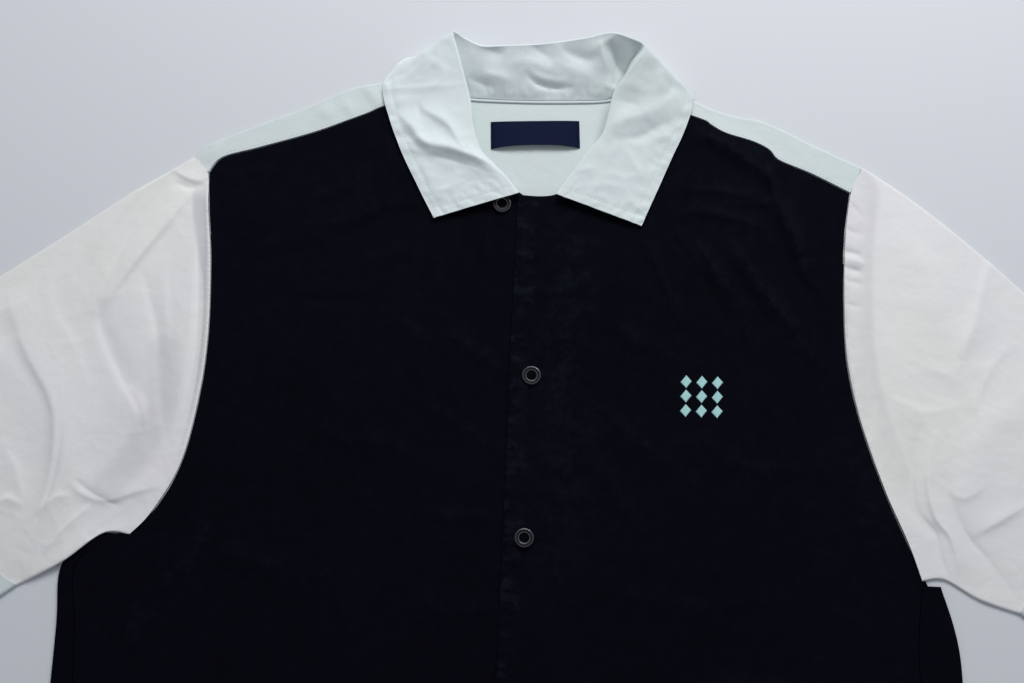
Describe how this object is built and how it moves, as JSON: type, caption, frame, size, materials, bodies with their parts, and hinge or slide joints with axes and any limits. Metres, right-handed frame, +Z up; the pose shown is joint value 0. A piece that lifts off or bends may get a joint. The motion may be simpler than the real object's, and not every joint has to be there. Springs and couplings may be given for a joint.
{
  "type": "short-sleeved camp-collar shirt",
  "caption": "Short-sleeved button-front shirt with a flat open collar, in blocks of colour, lying flat on its back, buttoned.",
  "frame": {"origin": "on the underside of the back, at the middle of the body's width, level with the second button", "axes": "+X towards the wearer's left sleeve, +Y towards the collar, +Z up from the surface it lies on"},
  "size_m": [0.8571, 0.7577, 0.024],
  "materials": {
    "navy_cloth": "matte woven twill",
    "mint_cloth": "matte woven twill",
    "white_cloth": "matte woven twill",
    "label_weave": "fine satin weave",
    "button_resin": "polished rim, dished middle"
  },
  "bodies": {
    "root": {"back": "navy_cloth", "yoke": "mint_cloth", "front_right": "navy_cloth", "front_left": "navy_cloth", "collar": "mint_cloth", "label": "label_weave", "sleeve_right": "white_cloth", "band_right": "mint_cloth", "sleeve_left": "white_cloth", "band_left": "mint_cloth", "button_1": "button_resin", "button_2": "button_resin", "button_3": "button_resin", "button_4": "button_resin", "button_5": "button_resin", "button_6": "button_resin"}
  },
  "joints": []
}
